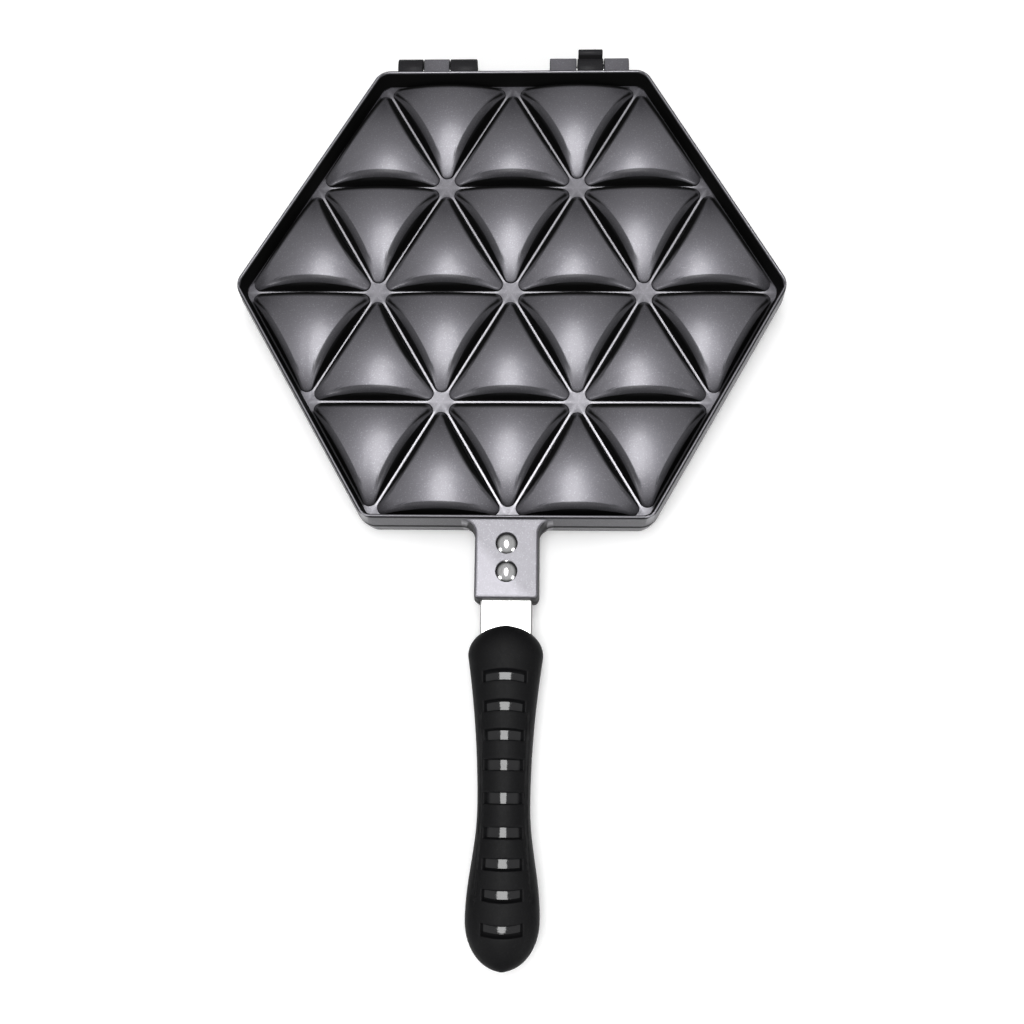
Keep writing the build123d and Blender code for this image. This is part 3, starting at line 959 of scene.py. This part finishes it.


# %% [markdown]
# The coat reads both values of the mesh: the painted highlight makes it light, and the
# painted shade takes away its colour, its metal and its gloss.


# %% Coated casting
def coated_casting():
    """Dark grey sprayed coat with a clear gloss over it; painted-shade faces are dull and black."""
    tree, shader, place = begin("coated casting")
    got = use_group(tree, grain, place)
    worn_and_highlit = use_group(tree, edges, From=0.52, To=0.62)["Mask"]
    # Painted shade, a value stored on the mesh.
    hidden = tree.nodes.new("ShaderNodeAttribute")
    hidden.attribute_name = "painted_shade"
    # Painted highlight, a value stored on the mesh.
    polished = tree.nodes.new("ShaderNodeAttribute")
    polished.attribute_name = "painted_highlight"
    tone = mix_colour(tree, got["Specks"], (0.17, 0.166, 0.184), (0.26, 0.254, 0.28))
    tone = mix_colour(tree, to_range(tree, got["Broad"], 0.35, 0.65, 0, 0.25), tone, (0.15, 0.147, 0.163))
    # Lighter on outward edges: partly wear, partly a painted edge highlight.
    tone = mix_colour(tree, maths(tree, "MULTIPLY", worn_and_highlit, 0.3), tone, (0.4, 0.39, 0.43))
    # Painted highlight: lighter along the web's lines and on the lip.
    tone = mix_colour(tree, maths(tree, "MULTIPLY", polished.outputs["Fac"], 0.9), tone, (0.62, 0.61, 0.65))
    # Painted shade: nearly black where little light gets.
    tone = mix_colour(tree, hidden.outputs["Fac"], tone, (0.006, 0.006, 0.006))
    tree.links.new(tone, shader.inputs["Base Color"])
    # The painted shade also takes away the metal and the coat's gloss.
    tree.links.new(to_range(tree, hidden.outputs["Fac"], 0, 1, 0.8, 0), shader.inputs["Metallic"])
    shader.inputs["IOR"].default_value = 1.05
    rough = to_range(tree, got["Height"], 0.35, 0.65, 0.4, 0.5)
    tree.links.new(rough, shader.inputs["Roughness"])
    tree.links.new(to_range(tree, hidden.outputs["Fac"], 0, 1, 0.6, 0), shader.inputs["Coat Weight"])
    shader.inputs["Coat Roughness"].default_value = 0.25
    tree.links.new(bump(tree, got["Height"], 0.00006, 0.55), shader.inputs["Normal"])


# %% [markdown]
# The bar is brushed along its length, so its lines run along Y and its highlight spreads
# across them.  The rivets are polished and show only hair lines.  Screws and pins are
# turned bright steel.


# %% Steels
def steel(name, tone, stretch, rough_low, rough_high, lines_deep, painted_shade_from=None):
    """Bare steel with brushed lines; the stretch squeezes the pattern along each axis.
    From that distance from the middle outwards, in metres, the edges get painted shade."""
    tree, shader, place = begin(name)
    got = use_group(tree, brushed, place, Stretch=stretch)
    dark = tuple(0.8 * c for c in tone)
    mixed = mix_colour(tree, to_range(tree, got["Lines"], 0.3, 0.7, 0, 1), dark, tone)
    dull = tuple(0.88 * c for c in tone)
    mixed = mix_colour(tree, to_range(tree, got["Wear"], 0.45, 0.75, 0, 0.5), mixed, dull)
    # Painted shade: a dark band along both long edges of the bar.
    if painted_shade_from:
        split = tree.nodes.new("ShaderNodeSeparateXYZ")
        tree.links.new(place, split.inputs[0])
        aside = maths(tree, "ABSOLUTE", split.outputs["X"], 0.0)
        edge = to_range(tree, aside, painted_shade_from, painted_shade_from + 0.0002, 0, 0.93)
        mixed = mix_colour(tree, edge, mixed, (0.02, 0.02, 0.02))
    tree.links.new(mixed, shader.inputs["Base Color"])
    tree.links.new(to_range(tree, got["Lines"], 0.3, 0.7, rough_low, rough_high), shader.inputs["Roughness"])
    shader.inputs["Metallic"].default_value = 1.0
    tree.links.new(bump(tree, got["Lines"], lines_deep, 0.5), shader.inputs["Normal"])


# %% [markdown]
# The core is glossy moulded plastic, nearly a mirror for the lamp above it.  The sleeve
# is a soft matt plastic with a fine texture that catches a low sheen on its crown.


# %% Plastics
def glossy_core():
    """Black gloss with a slight unevenness of the moulding and fine dust in its gloss."""
    tree, shader, place = begin("glossy core")
    got = use_group(tree, grain, place)
    tone = mix_colour(tree, got["Broad"], (0.006, 0.006, 0.007), (0.013, 0.013, 0.014))
    tree.links.new(tone, shader.inputs["Base Color"])
    tree.links.new(to_range(tree, got["Specks"], 0, 1, 0.07, 0.2), shader.inputs["Roughness"])
    tree.links.new(bump(tree, got["Broad"], 0.0006, 0.15), shader.inputs["Normal"])
    shader.inputs["IOR"].default_value = 1.55


def matt_grip():
    """Matt black with fine moulded texture, a little greyer on its outward edges."""
    tree, shader, place = begin("matt grip")
    got = use_group(tree, grain, place)
    worn_and_highlit = use_group(tree, edges, From=0.53, To=0.64)["Mask"]
    tone = mix_colour(tree, got["Specks"], (0.003, 0.003, 0.0035), (0.007, 0.007, 0.008))
    tone = mix_colour(tree, maths(tree, "MULTIPLY", worn_and_highlit, 0.5), tone, (0.02, 0.02, 0.021))
    tree.links.new(tone, shader.inputs["Base Color"])
    tree.links.new(to_range(tree, got["Height"], 0.35, 0.65, 0.5, 0.62), shader.inputs["Roughness"])
    shader.inputs["Specular IOR Level"].default_value = 0.15
    tree.links.new(bump(tree, got["Height"], 0.00005, 0.6), shader.inputs["Normal"])


# %% [markdown]
# The record says which finish each node has.

# %% Put the finishes on
finishes = {"coated_casting": "coated casting", "brushed_steel_bar": "brushed bar",
            "polished_steel": "polished rivets", "plated_steel": "plated steel",
            "glossy_core": "glossy core", "matt_grip": "matt grip"}
for name in finishes.values():
    bpy.data.materials.new(name)
coated_casting()
# The bar's last number is where its painted edge shade begins, in metres.
steel("brushed bar", (0.8, 0.795, 0.785), (1, 0.02, 1), 0.24, 0.4, 0.00002, 0.0101)
steel("polished rivets", (0.86, 0.86, 0.865), (1, 0.15, 1), 0.14, 0.2, 0.000004)
steel("plated steel", (0.66, 0.66, 0.655), (0.3, 1, 1), 0.2, 0.34, 0.00001)
glossy_core()
matt_grip()
for part in frame["record"]["subparts"]:
    material = bpy.data.materials[finishes[part["material_slot"]]]
    frame["nodes"][part["node"]].material_slots[0].material = material
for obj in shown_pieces():
    if "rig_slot" in obj:
        obj.data.materials.append(bpy.data.materials[finishes[obj["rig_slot"]]])

# %% [markdown]
# ## Floor, light and camera
#
# The photograph has a white ground.  A wide pale floor under a large soft lamp comes out
# white by itself and keeps a soft shadow.  The lamp hangs over the grips' side of the
# pan, so the near half of each dome is bright and the far half falls off, and the steep
# faces, which look at their neighbours, stay dark, darkened further by their painted shade.


# %% Floor and surroundings
def pale_floor():
    """Wide floor with a faint unevenness of tone."""
    mesh = bpy.data.meshes.new("floor")
    mesh.from_pydata([(-6, -6, 0), (6, -6, 0), (6, 6, 0), (-6, 6, 0)], [], [(0, 1, 2, 3)])
    obj = bpy.data.objects.new("floor", mesh)
    bpy.context.scene.collection.objects.link(obj)
    bpy.data.materials.new("pale floor")
    tree, shader, place = begin("pale floor")
    tone = mix_colour(tree, noise(tree, place, 5, 3), (0.93, 0.93, 0.93), (0.96, 0.96, 0.96))
    tree.links.new(tone, shader.inputs["Base Color"])
    shader.inputs["Roughness"].default_value = 0.7
    shader.inputs["Specular IOR Level"].default_value = 0.2
    path = tree.nodes.new("ShaderNodeLightPath").outputs
    seen = maths(tree, "ADD", path["Is Camera Ray"], path["Is Glossy Ray"])
    seen = maths(tree, "ADD", seen, path["Is Transmission Ray"])
    tree.links.new(maths(tree, "MULTIPLY", seen, 0.14), shader.inputs["Emission Strength"])
    shader.inputs["Emission Color"].default_value = (1, 1, 1, 1)
    obj.data.materials.append(bpy.data.materials["pale floor"])


def surroundings(low, high, seen):
    """Grey room, low near the horizon and high overhead; straight views of it are white."""
    world = bpy.data.worlds.new("room")
    bpy.context.scene.world = world
    world.use_nodes = True
    tree = world.node_tree
    tree.nodes.clear()
    out = tree.nodes.new("ShaderNodeOutputWorld")
    back = tree.nodes.new("ShaderNodeBackground")
    front = tree.nodes.new("ShaderNodeBackground")
    back.inputs["Color"].default_value = (1, 1, 1, 1)
    front.inputs["Color"].default_value = (1, 1, 1, 1)
    split = tree.nodes.new("ShaderNodeSeparateXYZ")
    tree.links.new(tree.nodes.new("ShaderNodeTexCoord").outputs["Generated"], split.inputs[0])
    tree.links.new(to_range(tree, split.outputs["Z"], 0.3, 0.6, low, high), back.inputs["Strength"])
    front.inputs["Strength"].default_value = seen
    path = tree.nodes.new("ShaderNodeLightPath")
    mix = tree.nodes.new("ShaderNodeMixShader")
    tree.links.new(path.outputs["Is Camera Ray"], mix.inputs[0])
    tree.links.new(back.outputs[0], mix.inputs[1])
    tree.links.new(front.outputs[0], mix.inputs[2])
    tree.links.new(mix.outputs[0], out.inputs["Surface"])


def soft_lamp(name, place, aim, size, power):
    """Oval lamp at place that faces aim; size is width and height in metres."""
    data = bpy.data.lights.new(name, "AREA")
    data.shape = "ELLIPSE"
    data.size, data.size_y = size
    data.energy = power
    obj = bpy.data.objects.new(name, data)
    obj.location = place
    obj.rotation_euler = (Vector(aim) - Vector(place)).to_track_quat("-Z", "Y").to_euler()
    bpy.context.scene.collection.objects.link(obj)


pale_floor()
surroundings(0.016, 0.48, 1.0)
soft_lamp("over the grips", (-0.03, -0.08, 1.1), (-0.03, -0.08, 0), (0.42, 1.05), 8.5)
soft_lamp("front left", (-0.9, -0.8, 0.6), (0, 0, 0), (0.4, 0.4), 2.5)
soft_lamp("front right", (0.9, -0.8, 0.6), (0, 0, 0), (0.4, 0.4), 2.5)

# %% [markdown]
# The camera stands where the photographer's did.  Elevation, azimuth and roll are in
# degrees, the lens is for a 36 mm wide sensor, and the place is worked out from the
# middle of the upper casting's web.

# %% Camera
elevation, azimuth, roll = 76.921, 7.45, -6.943
distance, slide_right, slide_up = 0.50376, 0.00066, -0.099
lens = 39.23

e, a, r = radians(elevation), radians(azimuth), radians(roll)
back = Vector((sin(a) * cos(e), -cos(a) * cos(e), sin(e)))
right = Vector((cos(a), sin(a), 0))
up = back.cross(right)
right, up = cos(r) * right + sin(r) * up, cos(r) * up - sin(r) * right
aim = Vector((0, plan_y, mid_z + web)) / 1000
camera = bpy.data.objects.new("camera", bpy.data.cameras.new("camera"))
camera.data.lens = lens
camera.data.sensor_width = 36
place = aim + back * distance + right * slide_right + up * slide_up
camera.matrix_world = Matrix.Translation(place) @ Matrix((right, up, back)).transposed().to_4x4()
bpy.context.scene.collection.objects.link(camera)
bpy.context.scene.camera = camera
bpy.context.scene.view_settings.view_transform = "Standard"
print("camera at", [round(v, 4) for v in place])
